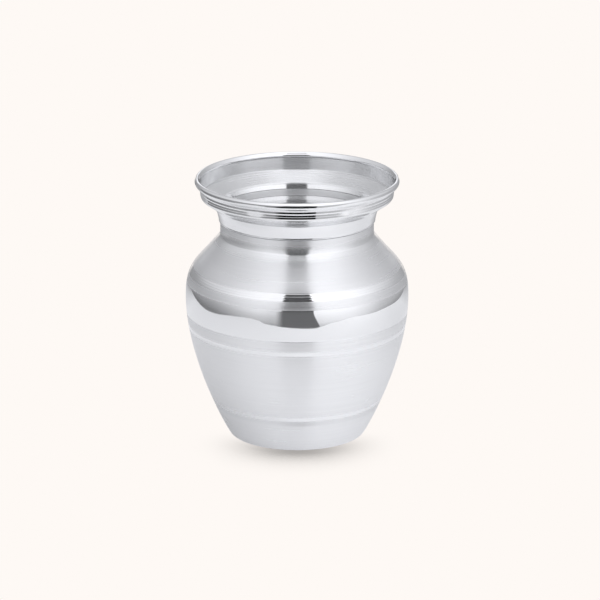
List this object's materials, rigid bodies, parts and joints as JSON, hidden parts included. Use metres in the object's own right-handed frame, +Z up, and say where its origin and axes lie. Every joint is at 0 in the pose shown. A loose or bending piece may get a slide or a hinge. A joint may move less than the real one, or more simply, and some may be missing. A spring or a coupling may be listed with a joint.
{
  "type": "lota",
  "caption": "Small round-bellied metal water pot with a flat base, a narrow neck and a flared, ribbed mouth with a rolled rim.",
  "frame": {"origin": "centre of the standing ring, on the table", "axes": "+Z up along the pot's axis, towards the mouth"},
  "size_m": [0.0644, 0.0644, 0.0762],
  "materials": {
    "bowl": "spun sheet, fine turned lines round the axis, mirror polish at the belly",
    "shoulder": "spun sheet, fine turned lines round the axis, polished lines and mirror belly",
    "collar": "spun sheet, bright, ribs and rim polished",
    "rim_wire": "drawn wire, out of sight",
    "belly_braze": "filler ground flush and mirror polished",
    "neck_solder": "dull filler"
  },
  "bodies": {
    "root": {"bowl": "bowl", "shoulder": "shoulder", "collar": "collar", "rim_wire": "rim_wire", "belly_braze": "belly_braze", "neck_solder": "neck_solder"}
  },
  "joints": []
}
